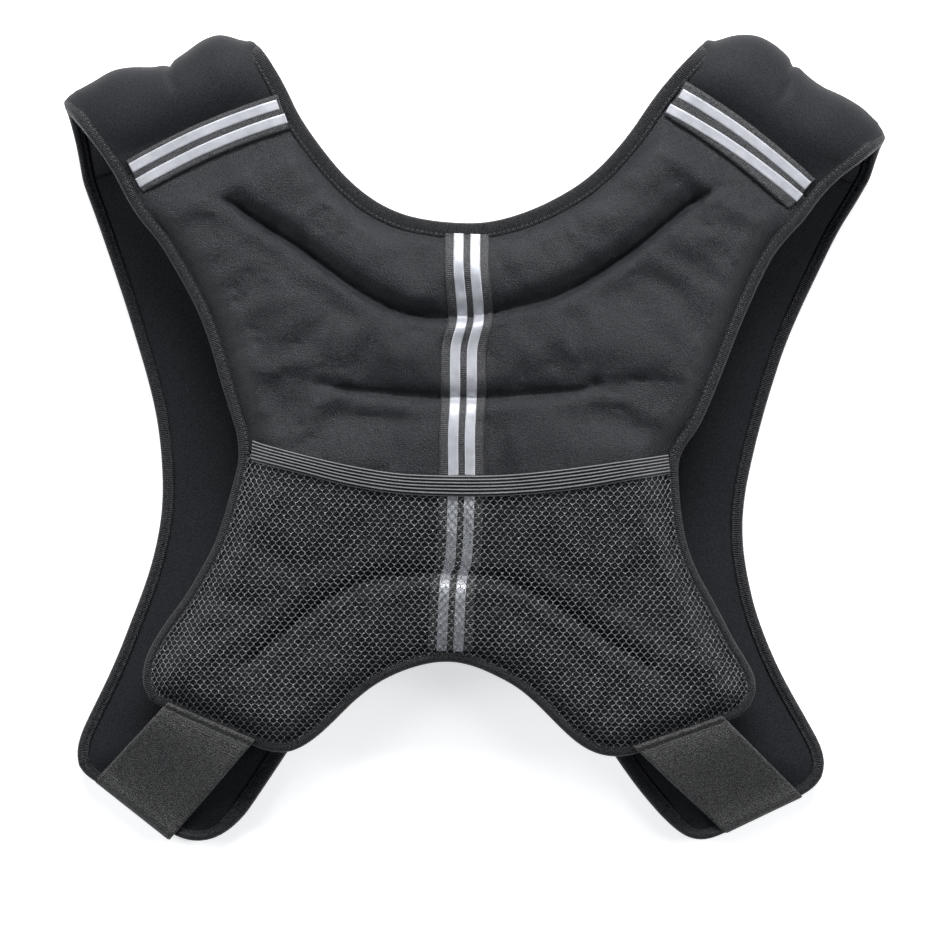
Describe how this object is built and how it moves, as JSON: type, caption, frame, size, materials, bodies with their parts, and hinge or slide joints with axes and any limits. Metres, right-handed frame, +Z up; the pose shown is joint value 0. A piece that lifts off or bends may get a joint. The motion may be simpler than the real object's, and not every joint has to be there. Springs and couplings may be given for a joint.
{
  "type": "weighted vest",
  "caption": "Weighted training vest lying flat and closed: quilted X-shaped back with a net pocket, padded shoulders, front panels, elastic side straps and reflective stripes",
  "frame": {"origin": "middle of the rectangle that the vest covers, on the surface that it lies on", "axes": "+Z up out of the surface, from the front panels to the back panel; +Y from the hem to the shoulders; +X to the wearer's right"},
  "size_m": [0.4296, 0.4272, 0.0577],
  "materials": {
    "quilted_back": "matt brushed stretch knit",
    "smooth_cloth": "smooth matt stretch cloth",
    "binding": "fine ribbed folded tape",
    "webbing": "woven webbing",
    "reflective": "silver reflective tape",
    "net": "open knitted net",
    "elastic": "ribbed elastic",
    "clasp": "matt moulded plastic"
  },
  "bodies": {
    "root": {"back_panel": "quilted_back", "front_wing_right": "smooth_cloth", "front_wing_left": "smooth_cloth", "shoulder_pad_right": "smooth_cloth", "shoulder_pad_left": "smooth_cloth", "neck_binding": "binding", "arm_binding_right": "binding", "arm_binding_left": "binding", "hem_binding": "binding", "wing_hem_binding_right": "binding", "wing_hem_binding_left": "binding", "centre_tape": "webbing", "shoulder_tape_right": "webbing", "shoulder_tape_left": "webbing", "chest_strap_upper": "webbing", "chest_strap_lower": "webbing", "centre_stripe_left": "reflective", "centre_stripe_right": "reflective", "shoulder_stripe_upper_right": "reflective", "shoulder_stripe_upper_left": "reflective", "shoulder_stripe_lower_right": "reflective", "shoulder_stripe_lower_left": "reflective", "mesh_pocket": "net", "pocket_band": "elastic", "side_strap_right": "elastic", "side_strap_left": "elastic", "chest_clasp_upper": "clasp", "chest_clasp_lower": "clasp"}
  },
  "joints": []
}
